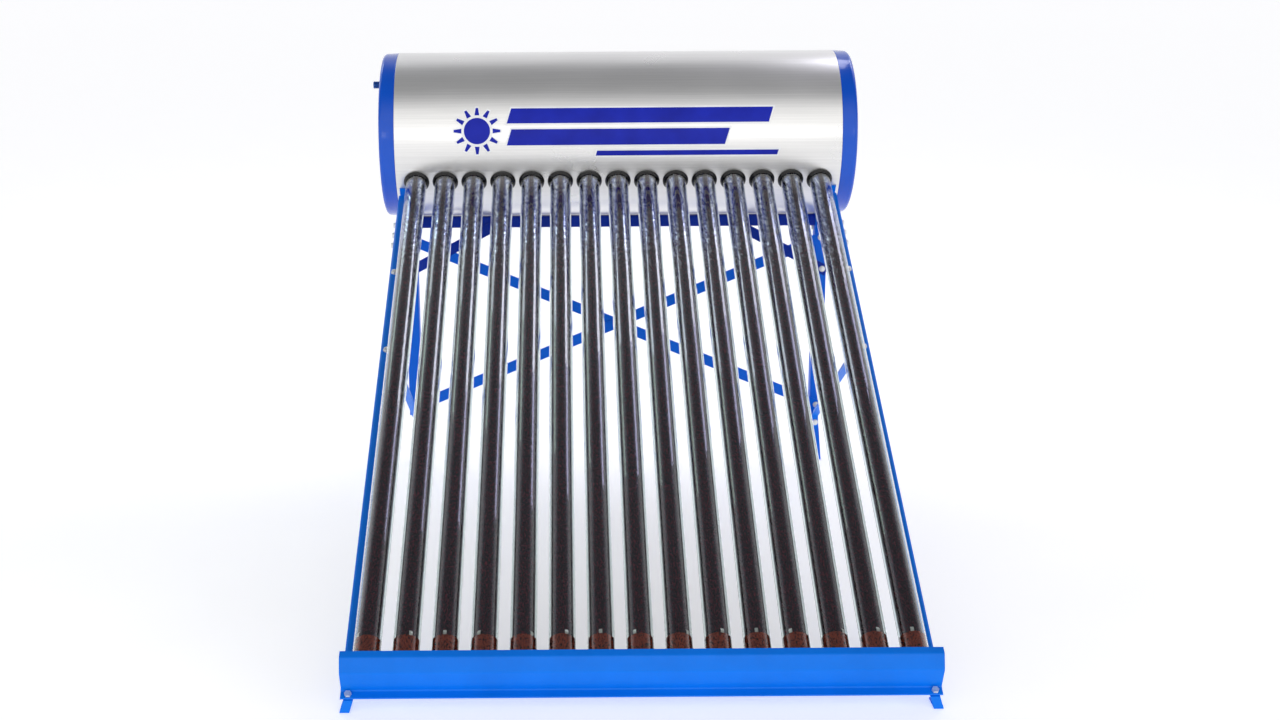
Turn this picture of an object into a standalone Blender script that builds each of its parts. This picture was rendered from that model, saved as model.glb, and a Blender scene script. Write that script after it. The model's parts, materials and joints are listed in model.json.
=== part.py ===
"""Thermosiphon solar water heater: evacuated glass tubes slope down from an insulated horizontal
tank to a folded-steel trough, all on a bolted stand of folded sheet-steel sections.

Metres, +Z up, ground at Z = 0. The tubes run down towards -Y and the tank lies along X.
"""
import math

import bmesh
import bpy
from mathutils import Matrix, Vector

# ---- Driving dimensions, in metres ----
GAP = 0.0003  # between pieces that touch
TUBE_COUNT = 15
TUBE_PITCH = 0.080
TUBE_RADIUS = 0.029
TUBE_LENGTH = 1.800
TUBE_TIP = 0.006  # the drawn-off glass tip at the closed end
ABSORBER_RADIUS = 0.0235
GLASS_WALL = 0.0016
TUBE_IN_TANK = 0.062  # how far a tube stands inside the water tank
SERVICE_TRAVEL = 0.030  # how far a tube is pushed up to lift its foot out of its cup

SLOPE = math.radians(28)
LIP_HEIGHT = 0.034  # the trough's lip above the ground

# Across the heater, each place is measured out from the outermost tube's axis.
TANK_RADIUS = 0.233
WATER_TANK_RADIUS = 0.185
WATER_TANK_OUT = 0.046
SHELL_OUT = 0.057
CAP_WIDTH = 0.044
SHELL_SHEET = 0.001
CAP_SHEET = 0.0012
WATER_TANK_SHEET = 0.0012
HOLE_CLEARANCE = 0.0023  # round each tube, in the shell, the foam and the water tank

RING_OUTSIDE = 0.0065  # how far the dust ring's flange is wider than its tube
RING_DEPTH = 0.010
RING_SLEEVE = 0.003

PIPE_RADIUS = 0.01065
PIPE_BORE = 0.008
PIPE_REACH = 0.0325  # out of the tank
OUTLET_RISE = 0.143
INLET_DROP = 0.090
INLET_IN = 0.110
VENT_RISE = 0.150
VENT_IN = 0.110

STEEL = 0.0025  # stand sections
BEND = 0.003  # inside radius of their folds
TROUGH_STEEL = 0.002
TROUGH_OUT = 0.050
TROUGH_ROOM = 0.007  # between the tubes and the trough's upper flange
CUP_SEAT = 0.009  # from the tubes down to the trough's lip
LIP_WIDTH = 0.018
CUP_WALL = 0.0024
CUP_DEPTH = 0.001  # its straight rim, kept below the flange

RAIL_OUT = 0.053
RAIL_WIDTH = 0.038
RAIL_DEPTH = 0.030
LEG_OUT = 0.0203
LEG_WIDTH = 0.036
LEG_DEPTH = 0.040
LEG_BOTTOM = 0.149  # its front flange ends here, and its foot carries on to the ground
LEG_WEB_BOTTOM = 0.192
CROSS_RAIL_HEIGHT = 0.033
CROSS_RAIL_DEPTH = 0.025
BRACE_WIDTH = 0.030
BRACE_LIP = 0.008
BRACE_TOP_DROP = 0.071  # from the tank down to the cross braces' upper bolts
BRACE_FOOT = 0.174  # their lower bolts above the ground
KNEE_WIDTH = 0.030
KNEE_FOOT_IN = 0.0267  # from the leg's web
KNEE_REACH = 0.262
KNEE_DROP = 0.139
STRUT_ROOM = 0.0005  # from the rail's fold
STRUT_WIDTH = 0.020
STRUT_LIP = 0.008
STRUT_TAB = 0.034
STRUT_TOP = 0.868  # down the slope from the tank axis
SADDLE_WIDTH = 0.0315
SADDLE_STEEL = 0.003
SADDLE_ARM = 0.460  # how far down the slope its side plate reaches
SADDLE_SKIRT = 0.055
FOOT_STEEL = 0.003
FRONT_FOOT_WIDTH = 0.020
FRONT_FOOT_SPLAY = 0.008
REAR_FOOT_WIDTH = 0.022
REAR_FOOT_HEIGHT = 0.185
REAR_FOOT_IN = 0.0107  # from the leg's web
REAR_FOOT_SPLAY = 0.017
REAR_FOOT_FLANGE = 0.014
PAD_LENGTH = 0.045
BOLT_RADIUS = 0.004
BOLT_HEAD = 0.0065  # half across flats
BOLT_HEAD_HEIGHT = 0.0055
BOLT_CLEARANCE = 0.0006

TANK_SIDES = 36
WATER_TANK_SIDES = 32
TUBE_SIDES = 10
PIPE_SIDES = 16

# ---- Places worked out from them ----
FACE = TANK_RADIUS * math.cos(math.pi / TANK_SIDES)  # from the tank axis to the middle of a flat
TUBE_FOOT = WATER_TANK_RADIUS - TUBE_IN_TANK + TUBE_LENGTH  # closed end, down the slope
DOME_CENTRE = TUBE_FOOT - TUBE_TIP - TUBE_RADIUS
TUBE_X = [(i - (TUBE_COUNT - 1) / 2) * TUBE_PITCH for i in range(TUBE_COUNT)]
SHELL_HALF = TUBE_X[-1] + SHELL_OUT
WATER_TANK_HALF = TUBE_X[-1] + WATER_TANK_OUT
TROUGH_HALF = TUBE_X[-1] + TROUGH_OUT
RAIL_OUTER_X = TUBE_X[-1] + RAIL_OUT
LEG_INNER_X = TUBE_X[-1] + LEG_OUT
LIP_BOLT_X = RAIL_OUTER_X - RAIL_WIDTH / 2 + 0.001
STRUT_X = RAIL_OUTER_X - STEEL - BEND - STRUT_ROOM - STRUT_WIDTH / 2
KNEE_FOOT_X = LEG_INNER_X + KNEE_FOOT_IN
REAR_FOOT_TOP_X = LEG_INNER_X + REAR_FOOT_IN
TROUGH_DROP = TUBE_RADIUS + CUP_SEAT
FLANGE_RISE = TUBE_RADIUS + TROUGH_ROOM
LIP_SLOPE = TUBE_FOOT + 0.011  # where the trough's web meets its lip
TROUGH_PATH = [
    (DOME_CENTRE + 0.003, FLANGE_RISE),
    (DOME_CENTRE + 0.019, FLANGE_RISE),
    (LIP_SLOPE - 0.004, FLANGE_RISE - 0.024),
    (LIP_SLOPE, -TROUGH_DROP),
    (LIP_SLOPE + LIP_WIDTH, -TROUGH_DROP),
]
AXIS_HEIGHT = LIP_HEIGHT + (LIP_SLOPE + LIP_WIDTH) * math.sin(SLOPE) + TROUGH_DROP * math.cos(SLOPE)
TRAY_RISE = -TROUGH_DROP - TROUGH_STEEL - GAP  # top of the tray
RAIL_RISE = TRAY_RISE - TROUGH_STEEL - GAP  # top of the side rails
TAB_RISE = RAIL_RISE - STEEL - GAP  # top of the front feet's tabs
LEG_FRONT = -LEG_DEPTH / 2
LEG_TOP = AXIS_HEIGHT - TANK_RADIUS - 2 * GAP - SADDLE_STEEL
LEG_OUTER_X = LEG_INNER_X + LEG_WIDTH
BRACE_BOLT_X = LEG_INNER_X + LEG_WIDTH / 2
FRONT_REACH = max(s * math.cos(SLOPE) + n * math.sin(SLOPE) for s, n in TROUGH_PATH)
INLET_REACH = math.sqrt(TANK_RADIUS**2 - INLET_DROP**2) + PIPE_REACH
VENT_REACH = math.sqrt(TANK_RADIUS**2 - VENT_RISE**2) + PIPE_REACH
REAR_REACH = max(TANK_RADIUS, INLET_REACH, VENT_REACH)
TANK_Y = (FRONT_REACH - REAR_REACH) / 2
TANK_X = PIPE_REACH / 2


# ---- Materials ----
def paint(name, rgb, roughness, metallic=0.0, alpha=1.0):
    material = bpy.data.materials.new(name)
    material.use_nodes = True
    shader = material.node_tree.nodes["Principled BSDF"]
    shader.inputs["Base Color"].default_value = (*rgb, 1.0)
    shader.inputs["Roughness"].default_value = roughness
    shader.inputs["Metallic"].default_value = metallic
    shader.inputs["Alpha"].default_value = alpha
    return material


# ---- Building blocks ----
def place(name, bm, parent, material, location=(0, 0, 0), turn=None):
    """An object from a bmesh, seen from its parent's frame."""
    mesh = bpy.data.meshes.new(name)
    bm.to_mesh(mesh)
    bm.free()
    mesh.materials.append(material)
    mesh.shade_smooth()
    mesh.set_sharp_from_angle(angle=math.radians(40))
    obj = bpy.data.objects.new(name, mesh)
    bpy.context.scene.collection.objects.link(obj)
    obj.parent = parent
    obj.location = location
    if turn is not None:
        obj.rotation_euler = turn.to_euler()
    return obj


def spun(outline, sides, closed=True, half_step=True):
    """Turns an outline of (radius, height) points about Z. A closed outline gives a ring or a pipe."""
    bm = bmesh.new()
    points = [bm.verts.new((radius, 0, height)) for radius, height in outline]
    pairs = list(zip(points, points[1:]))
    if closed:
        pairs.append((points[-1], points[0]))
    edges = [bm.edges.new(pair) for pair in pairs]
    bmesh.ops.spin(
        bm, geom=points + edges, axis=(0, 0, 1), cent=(0, 0, 0), dvec=(0, 0, 0),
        angle=2 * math.pi, steps=sides, use_merge=True, use_duplicate=False,
    )
    bmesh.ops.remove_doubles(bm, verts=bm.verts, dist=1e-6)
    if half_step:
        turn = Matrix.Rotation(math.pi / sides, 3, "Z")
        bmesh.ops.rotate(bm, verts=bm.verts, cent=(0, 0, 0), matrix=turn)
    bmesh.ops.recalc_face_normals(bm, faces=bm.faces)
    return bm


def prism(outline, start, end, across="x"):
    """Extrudes an outline from start to end along one axis. The outline's two values are the other axes in order."""
    bm = bmesh.new()
    order = {"x": lambda a, b: (start, a, b), "y": lambda a, b: (a, start, b), "z": lambda a, b: (a, b, start)}
    step = {"x": (end - start, 0, 0), "y": (0, end - start, 0), "z": (0, 0, end - start)}
    face = bm.faces.new([bm.verts.new(order[across](a, b)) for a, b in outline])
    moved = bmesh.ops.extrude_face_region(bm, geom=[face])["geom"]
    corners = [item for item in moved if isinstance(item, bmesh.types.BMVert)]
    bmesh.ops.translate(bm, verts=corners, vec=step[across])
    bmesh.ops.recalc_face_normals(bm, faces=bm.faces)
    return bm


def box(low, high):
    return prism([(low[1], low[2]), (high[1], low[2]), (high[1], high[2]), (low[1], high[2])], low[0], high[0])


def folded(path, thickness, bend=BEND, turns=2):
    """The outline of a folded sheet: path is one face of it, and the sheet lies on the path's right."""
    points = [Vector(p) for p in path]
    rounded = [points[0]]
    for before, corner, after in zip(points, points[1:], points[2:]):
        into = (corner - before).normalized()
        out = (after - corner).normalized()
        angle = into.angle_signed(out)
        # mathutils counts a clockwise turn, which is one to the right, as positive
        radius = bend + thickness if angle > 0 else bend
        reach = radius * math.tan(abs(angle) / 2)
        side = Vector((into.y, -into.x)) * (1 if angle > 0 else -1)
        centre = corner - into * reach + side * radius
        start = -side * radius
        for i in range(turns + 1):
            spin = Matrix.Rotation(-angle * i / turns, 2)
            rounded.append(centre + spin @ start)
    rounded.append(points[-1])
    inner = []
    for i, point in enumerate(rounded):
        a = (point - rounded[i - 1]).normalized() if i else None
        b = (rounded[i + 1] - point).normalized() if i + 1 < len(rounded) else None
        a = a or b
        b = b or a
        right = Vector((a.y + b.y, -a.x - b.x)).normalized()
        inner.append(point + right * thickness / right.dot(Vector((a.y, -a.x))))
    return [tuple(p) for p in rounded + inner[::-1]]


def lofted(rings):
    """Joins rings of points, each with the same number, and closes both ends."""
    bm = bmesh.new()
    rings = [[bm.verts.new(point) for point in ring] for ring in rings]
    for ring, following in zip(rings, rings[1:]):
        for i in range(len(ring)):
            bm.faces.new((ring[i - 1], ring[i], following[i], following[i - 1]))
    bm.faces.new(rings[0])
    bm.faces.new(rings[-1])
    bmesh.ops.remove_doubles(bm, verts=bm.verts, dist=1e-6)
    bmesh.ops.recalc_face_normals(bm, faces=bm.faces)
    return bm


def strap(stations, width, thickness):
    """A folded strap. Each station is a point on the middle of its front face, the direction that face looks in,
    the direction across it, and how far its two lips reach behind that face: the thickness alone for no lips."""
    rings = []
    edge = width / 2
    for point, front, across, lip in stations:
        section = [
            (-edge, lip), (-edge, 0), (edge, 0), (edge, lip),
            (edge - thickness, lip), (edge - thickness, thickness),
            (thickness - edge, thickness), (thickness - edge, lip),
        ]
        rings.append([point + across * a - front * depth for a, depth in section])
    return lofted(rings)


def helper(obj):
    obj.hide_render = True
    obj.display_type = "WIRE"
    return obj


def combine(obj, other, operation):
    modifier = obj.modifiers.new(operation.lower(), "BOOLEAN")
    modifier.operation = operation
    modifier.solver = "EXACT"
    modifier.object = helper(other)


def disc_outline(radius, low, high):
    return [(0, low), (radius, low), (radius, high), (0, high)]


def rod(name, radius, sides, start, end, parent, material):
    """A solid round bar from start to end, used as a cutter."""
    run = Vector(end) - Vector(start)
    bm = spun(disc_outline(radius, 0, run.length), sides, closed=False)
    return place(name, bm, parent, material, start, run.to_track_quat("Z", "Y").to_matrix())


ALONG_SLOPE = Matrix.Rotation(math.radians(-90), 3, "X")  # turns Z to point up the slope
ALONG_TANK = Matrix.Rotation(math.radians(90), 3, "Y")  # turns Z to point along +X


def sloped(s, n):
    """Stand coordinates (y, z) of a point s down the slope from the tank axis and n above the tubes' plane."""
    return (
        -s * math.cos(SLOPE) - n * math.sin(SLOPE),
        AXIS_HEIGHT - s * math.sin(SLOPE) + n * math.cos(SLOPE),
    )


# ---- Glass tubes and what they fit into ----
def glass_tube(x, name, parent, material):
    """A double-walled tube, fused at its open top, with a drawn tip at its domed foot.

    The tip is left open, so that the vacuum space isn't a sealed hollow.
    """
    inner_bore = ABSORBER_RADIUS - GLASS_WALL
    outer_bore = TUBE_RADIUS - GLASS_WALL
    dome = TUBE_TIP + TUBE_RADIUS
    absorber_dome = dome + 0.018
    fuse = TUBE_LENGTH - 0.010
    half = math.sqrt(0.5)
    outline = [
        (0, absorber_dome - inner_bore),
        (inner_bore * half, absorber_dome - inner_bore * half),
        (inner_bore, absorber_dome),
        (inner_bore, TUBE_LENGTH),
        (TUBE_RADIUS - 0.002, TUBE_LENGTH),
        (TUBE_RADIUS, TUBE_LENGTH - 0.003),
        (TUBE_RADIUS, dome),
        (TUBE_RADIUS * half, dome - TUBE_RADIUS * half),
        (0.0035, TUBE_TIP + 0.001),
        (0.0035, 0),
        (0.0018, 0),
        (0.0018, TUBE_TIP + 0.003),
        (outer_bore * half, dome - outer_bore * half),
        (outer_bore, dome),
        (outer_bore, fuse),
        (ABSORBER_RADIUS, fuse),
        (ABSORBER_RADIUS, absorber_dome),
        (ABSORBER_RADIUS * half, absorber_dome - ABSORBER_RADIUS * half),
        (0, absorber_dome - ABSORBER_RADIUS),
    ]
    bm = spun(outline, TUBE_SIDES, closed=False)
    return place(name, bm, parent, material, (x, -TUBE_FOOT, 0), ALONG_SLOPE)


def dust_ring(x, name, parent, material):
    """A rubber grommet: a flange against the shell and a sleeve into its hole."""
    bore = TUBE_RADIUS + GAP
    sleeve = TUBE_RADIUS + HOLE_CLEARANCE - GAP
    flange = TUBE_RADIUS + RING_OUTSIDE
    outline = [
        (bore, RING_SLEEVE),
        (sleeve, RING_SLEEVE),
        (sleeve, -GAP),
        (flange, -GAP),
        (flange, -RING_DEPTH * 0.55),
        (sleeve, -RING_DEPTH),
        (bore, -RING_DEPTH),
    ]
    bm = spun(outline, TUBE_SIDES)
    return place(name, bm, parent, material, (x, -FACE, 0), ALONG_SLOPE)


def cut_tube_holes(target, parent, material):
    """Every hole runs from inside the water tank out past the shell."""
    for i, x in enumerate(TUBE_X):
        start = (x, -TANK_RADIUS - 0.02, 0)
        end = (x, -WATER_TANK_RADIUS / 2, 0)
        bore = TUBE_RADIUS + HOLE_CLEARANCE
        bm = spun(disc_outline(bore, 0, end[1] - start[1]), TUBE_SIDES, closed=False)
        cutter = place(f"{target.name}_hole_{i + 1:02}", bm, parent, material, start, ALONG_SLOPE)
        combine(target, cutter, "DIFFERENCE")


def tube_cups(parent, material):
    """Moulded cups under the tubes' domed feet, on one base strip. Each is open in the middle for the tip."""
    top = DOME_CENTRE - CUP_DEPTH
    bore = TUBE_RADIUS + GAP * 2
    rim = bore + CUP_WALL
    half = math.sqrt(0.5)
    low = math.radians(68)
    outline = [
        (bore, -CUP_DEPTH),
        (bore, 0),
        (bore * half, bore * half),
        (bore * math.cos(low), bore * math.sin(low)),
        (rim * math.cos(low), rim * math.sin(low)),
        (rim * half, rim * half),
        (rim, 0),
        (rim, -CUP_DEPTH),
    ]
    base_top = -rim + 0.006
    low_corner = (TUBE_X[0] - rim, -DOME_CENTRE - 0.004, TRAY_RISE + GAP)
    high_corner = (TUBE_X[-1] + rim, -top - 0.002, base_top)
    strip = place("tube_cups", box(low_corner, high_corner), parent, material)
    for i, x in enumerate(TUBE_X):
        bore_space = place(
            f"cup_space_{i + 1:02}",
            spun(disc_outline(bore + CUP_WALL / 2, -0.1, 0.1), TUBE_SIDES, closed=False),
            parent, material, (x, -DOME_CENTRE, 0), ALONG_SLOPE,
        )
        combine(strip, bore_space, "DIFFERENCE")
    for i, x in enumerate(TUBE_X):
        cup = place(
            f"cup_{i + 1:02}",
            spun([(r, -h) for r, h in outline], TUBE_SIDES),
            parent, material, (x, -DOME_CENTRE, 0), ALONG_SLOPE,
        )
        combine(strip, cup, "UNION")
    return strip


# ---- Tank ----
def outer_shell(parent, material):
    inside = TANK_RADIUS - SHELL_SHEET
    outline = [(TANK_RADIUS, -SHELL_HALF), (TANK_RADIUS, SHELL_HALF), (inside, SHELL_HALF), (inside, -SHELL_HALF)]
    return place("outer_shell", spun(outline, TANK_SIDES), parent, material, turn=ALONG_TANK)


def end_cap(name, side, parent, material):
    """A pressed cap, flush with the shell, with a lip that plugs into the shell's end."""
    lip = TANK_RADIUS - SHELL_SHEET - GAP
    lip_depth = 0.016
    rim = TANK_RADIUS - 0.002
    corner = 0.014
    knee = corner * (1 - math.sqrt(0.5))
    sheet = CAP_SHEET
    outline = [
        (0, CAP_WIDTH),
        (rim - corner, CAP_WIDTH),
        (rim - knee, CAP_WIDTH - knee),
        (rim, CAP_WIDTH - corner),
        (TANK_RADIUS, GAP),
        (lip, GAP),
        (lip, -lip_depth),
        (lip - sheet, -lip_depth),
        (lip - sheet, GAP + sheet),
        (rim - sheet, CAP_WIDTH - corner),
        (rim - knee - sheet, CAP_WIDTH - knee - sheet),
        (rim - corner, CAP_WIDTH - sheet),
        (0, CAP_WIDTH - sheet),
    ]
    bm = spun(outline, TANK_SIDES, closed=False)
    turn = ALONG_TANK if side > 0 else Matrix.Rotation(math.radians(-90), 3, "Y")
    return place(name, bm, parent, material, (side * SHELL_HALF, 0, 0), turn)


def water_tank(parent, material):
    """The stainless tank: a closed drum with dished ends, given its wall by Solidify."""
    dish = [(0, 0), (0.55, 0.004), (0.86, 0.014), (1.0, 0.036)]
    ends = [(WATER_TANK_RADIUS * r, WATER_TANK_HALF - drop) for r, drop in dish]
    outline = ends + [(r, -h) for r, h in ends[::-1]]
    bm = spun(outline, WATER_TANK_SIDES, closed=False)
    obj = place("water_tank", bm, parent, material, turn=ALONG_TANK)
    wall = obj.modifiers.new("wall", "SOLIDIFY")
    wall.thickness = WATER_TANK_SHEET
    wall.offset = -1
    return obj


def insulation(parent, material):
    """Foam between the water tank and the shell, running on into the caps."""
    outside = TANK_RADIUS - SHELL_SHEET - CAP_SHEET - 3 * GAP
    end = SHELL_HALF + CAP_WIDTH - CAP_SHEET - 2 * GAP
    corner = 0.016
    outline = [
        (0, end),
        (outside - corner, end),
        (outside - 0.003, end - corner),
        (outside - 0.003, -end + corner),
        (outside - corner, -end),
        (0, -end),
    ]
    obj = place("insulation", spun(outline, WATER_TANK_SIDES, closed=False), parent, material, turn=ALONG_TANK)
    room = WATER_TANK_RADIUS + GAP
    half = WATER_TANK_HALF + GAP
    space = place(
        "insulation_space",
        spun(disc_outline(room, -half, half), WATER_TANK_SIDES, closed=False),
        parent, material, turn=ALONG_TANK,
    )
    combine(obj, space, "DIFFERENCE")
    return obj


def pipe_stub(name, start, end, parent, material, passes):
    """A threaded stub from inside the water tank to outside, with its hole cut in each piece it passes."""
    run = Vector(end) - Vector(start)
    turn = run.to_track_quat("Z", "Y").to_matrix()
    outline = [(PIPE_RADIUS, 0), (PIPE_RADIUS, run.length), (PIPE_BORE, run.length), (PIPE_BORE, 0)]
    stub = place(name, spun(outline, PIPE_SIDES), parent, material, start, turn)
    for piece in passes:
        hole = rod(f"{piece.name}_{name}", PIPE_RADIUS + GAP, PIPE_SIDES, start, end, parent, material)
        combine(piece, hole, "DIFFERENCE")
    return stub


# ---- Stand ----
def side_rail(side, name, parent, material):
    """A folded rail under the outermost tube. Its side web stops short of the trough's lip."""
    top = -FACE - 0.004
    end = -TROUGH_PATH[-1][0] + 0.002
    web_end = -LIP_SLOPE + 0.009
    path = [
        (side * (RAIL_OUTER_X - RAIL_WIDTH), RAIL_RISE),
        (side * RAIL_OUTER_X, RAIL_RISE),
        (side * RAIL_OUTER_X, RAIL_RISE - RAIL_DEPTH),
    ]
    section = folded(path if side > 0 else path[::-1], STEEL)
    rail = place(name, prism(section, end, top, "y"), parent, material)
    low = (side * RAIL_OUTER_X - 0.02, end - 0.01, RAIL_RISE - RAIL_DEPTH - 0.01)
    high = (side * RAIL_OUTER_X + 0.02, web_end, RAIL_RISE - STEEL - 2 * GAP)
    combine(rail, place(f"{name}_end", box(low, high), parent, material), "DIFFERENCE")
    return rail


def tank_saddle(side, name, collector, stand, material):
    """A curved strap under the tank, welded to a side plate on the rail and a tab on the leg."""
    step = 2 * math.pi / TANK_SIDES
    inner = TANK_RADIUS + GAP
    outer = inner + SADDLE_STEEL
    spans = 8
    edge_in = side * (RAIL_OUTER_X - STEEL - GAP - STEEL + 0.0010)
    edge_out = edge_in - side * SADDLE_WIDTH
    corners = [(edge_in, inner), (edge_in, outer), (edge_out, outer), (edge_out, inner)]
    rings = []
    for k in range(spans + 1):
        angle = step * (k + 0.5)
        rings.append([(x, -r * math.cos(angle), -r * math.sin(angle)) for x, r in corners])
    saddle = place(name, lofted(rings), collector, material)
    room = spun(disc_outline(TUBE_RADIUS + RING_OUTSIDE + 0.0015, -0.03, 0.03), PIPE_SIDES, closed=False)
    notch = place(f"{name}_notch", room, collector, material, (side * TUBE_X[-1], -TANK_RADIUS, 0), ALONG_SLOPE)
    combine(saddle, notch, "DIFFERENCE")

    # the plate's edge runs inside the strap, with its corners half way along the strap's flats
    middle = inner + SADDLE_STEEL * 0.55
    last = int((math.pi / 2 - SLOPE - math.asin(-LEG_FRONT / middle)) / step)
    arc = [sloped(middle * math.cos(step * k), -middle * math.sin(step * k)) for k in range(2, last + 1)]
    rear_y = arc[-1][0]
    low_z = AXIS_HEIGHT - TANK_RADIUS - SADDLE_SKIRT
    arm_top = TAB_RISE - BEND
    outline = arc + [
        (rear_y, low_z),
        sloped(SADDLE_ARM, RAIL_RISE - RAIL_DEPTH),
        sloped(SADDLE_ARM, arm_top),
        sloped(TANK_RADIUS + 0.020, arm_top),
    ]
    plate_out = side * (RAIL_OUTER_X - STEEL - GAP)
    plate = prism(outline, plate_out - side * STEEL, plate_out)
    combine(saddle, place(f"{name}_plate", plate, stand, material), "UNION")

    web = LEG_INNER_X + STEEL + GAP
    tab = box(
        (min(side * web, side * (web + STEEL)), LEG_FRONT + STEEL + BEND + GAP, low_z),
        (max(side * web, side * (web + STEEL)), LEG_FRONT + LEG_DEPTH, AXIS_HEIGHT - inner - SADDLE_STEEL * 0.45),
    )
    combine(saddle, place(f"{name}_tab", tab, stand, material), "UNION")
    return saddle


def rear_leg(side, name, parent, material):
    path = [
        (side * LEG_OUTER_X, LEG_FRONT),
        (side * LEG_INNER_X, LEG_FRONT),
        (side * LEG_INNER_X, LEG_FRONT + LEG_DEPTH),
    ]
    section = folded(path if side > 0 else path[::-1], STEEL)
    leg = place(name, prism(section, LEG_BOTTOM, LEG_TOP, "z"), parent, material)
    low = (side * LEG_INNER_X - 0.01, LEG_FRONT + STEEL, LEG_BOTTOM - 0.01)
    high = (side * LEG_INNER_X + 0.01, LEG_FRONT + LEG_DEPTH + 0.01, LEG_WEB_BOTTOM)
    combine(leg, place(f"{name}_end", box(low, high), parent, material), "DIFFERENCE")
    return leg


def cross_rail(parent, material):
    """A channel between the legs, flush with their front faces, with a plate across each end."""
    back = LEG_FRONT + CROSS_RAIL_DEPTH
    top = LEG_TOP - GAP
    low = top - CROSS_RAIL_HEIGHT
    path = [(back, low), (LEG_FRONT, low), (LEG_FRONT, top), (back, top)]
    half = LEG_INNER_X - GAP
    rail = place("cross_rail", prism(folded(path, STEEL), -half, half), parent, material)
    for side, label in ((-1, "left"), (1, "right")):
        near, far = sorted((side * (half - 0.0002), side * (half - STEEL)))
        end = box((near, LEG_FRONT + 0.001, low + 0.001), (far, back - 0.001, top - 0.001))
        combine(rail, place(f"cross_rail_{label}_end", end, parent, material), "UNION")
    return rail


def flat_strap(name, start, end, stations, width, parent, material):
    """A strap across the front of the stand. Each station is a distance along it, a height off the legs' front
    faces and a depth of lip."""
    a, b = Vector((start[0], 0, start[1])), Vector((end[0], 0, end[1]))
    along = (b - a).normalized()
    front = Vector((0, -1, 0))
    across = along.cross(front)
    points = [
        (a + along * distance + front * (rise + GAP + STEEL - LEG_FRONT), front, across, lip)
        for distance, rise, lip in stations
    ]
    return place(name, strap(points, width, STEEL), parent, material)


def cross_brace(name, rise, over, parent, material):
    """A diagonal strap with its lips turned back, cut away at the legs and where the two braces cross.

    rise is 1 where it climbs to +X. The one that goes over the other is sprung forward by its thickness.
    """
    start = (-rise * BRACE_BOLT_X, BRACE_FOOT)
    end = (rise * BRACE_BOLT_X, AXIS_HEIGHT - TANK_RADIUS - BRACE_TOP_DROP)
    length = math.hypot(end[0] - start[0], end[1] - start[1])
    tail = BRACE_WIDTH / 2
    clear = LEG_WIDTH + BRACE_WIDTH / 2
    crossing = BRACE_WIDTH * 1.9
    lift = STEEL + GAP if over else 0
    middle = length / 2
    half = [
        (-tail, 0, STEEL),
        (clear, 0, STEEL),
        (clear + BRACE_LIP, 0, BRACE_LIP),
        (middle - crossing * 3, 0, BRACE_LIP),
        (middle - crossing - BRACE_LIP, lift, BRACE_LIP),
        (middle - crossing, lift, STEEL if over else BRACE_LIP),
    ]
    other_half = [(length - distance, lift_here, lip) for distance, lift_here, lip in half[::-1]]
    return flat_strap(name, start, end, half + other_half, BRACE_WIDTH, parent, material)


def knee_brace(side, name, parent, material):
    """A flat strap from the cross rail to the leg, sprung over the cross brace on its way."""
    rail_z = LEG_TOP - CROSS_RAIL_HEIGHT * 0.70
    start = (side * (KNEE_FOOT_X - KNEE_REACH), rail_z)
    end = (side * KNEE_FOOT_X, rail_z - KNEE_DROP)
    length = math.hypot(KNEE_REACH, KNEE_DROP)
    tail = KNEE_WIDTH / 2
    lift = STEEL + 2 * GAP
    stations = [
        (-tail, 0, STEEL),
        (tail, 0, STEEL),
        (length * 0.45, lift, STEEL),
        (length * 0.80, lift, STEEL),
        (length - tail * 0.8, 0, STEEL),
        (length + tail * 0.8, 0, STEEL),
    ]
    return flat_strap(name, start, end, stations, KNEE_WIDTH, parent, material)


def side_strut(side, name, parent, material):
    """A small channel from the leg's foot up to the rail, flattened to a tab at each end."""
    middle = side * STRUT_X
    rail_line = TAB_RISE - STEEL
    low_y = LEG_FRONT
    bend_z = LEG_BOTTOM - 0.011
    top = sloped(STRUT_TOP, rail_line)
    end = sloped(STRUT_TOP + 0.034, rail_line)
    path = [(low_y, bend_z - STRUT_TAB), (low_y, bend_z), top, end]
    turns = []
    for a, b in zip(path, path[1:]):
        run = Vector((b[0] - a[0], b[1] - a[1])).normalized()
        turns.append(Vector((0, run.y, -run.x)) * -1)
    across = Vector((1, 0, 0))
    mitres = [
        (turns[0] + turns[1]) / (1 + turns[0].dot(turns[1])),
        (turns[1] + turns[2]) / (1 + turns[1].dot(turns[2])),
    ]
    corners = [Vector((middle, y, z)) for y, z in path]
    run = (corners[2] - corners[1]).normalized()
    near, far = 0.030, 0.030 + STRUT_LIP
    stations = [
        (corners[0], turns[0], across, STEEL),
        (corners[1], mitres[0], across, STEEL),
        (corners[1] + run * near, turns[1], across, STEEL),
        (corners[1] + run * far, turns[1], across, STRUT_LIP),
        (corners[2] - run * far, turns[1], across, STRUT_LIP),
        (corners[2] - run * near, turns[1], across, STEEL),
        (corners[2], mitres[1], across, STEEL),
        (corners[3], turns[2], across, STEEL),
    ]
    return place(name, strap(stations, STRUT_WIDTH, STEEL), parent, material)


def trough_cover(parent, material):
    section = folded([(-s, n) for s, n in TROUGH_PATH][::-1], TROUGH_STEEL, bend=0.0025)
    return place("trough_cover", prism(section, -TROUGH_HALF, TROUGH_HALF), parent, material)


def trough_tray(parent, material):
    """The strip under the cups, bolted between the cover's lip and the rails."""
    back = DOME_CENTRE - CUP_DEPTH - 0.008
    path = [
        (-TROUGH_PATH[-1][0], TRAY_RISE),
        (-back, TRAY_RISE),
        (-back, TRAY_RISE + 0.006),
    ]
    section = folded(path, TROUGH_STEEL, bend=0.001)
    return place("trough_tray", prism(section, -TROUGH_HALF, TROUGH_HALF), parent, material)


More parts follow.
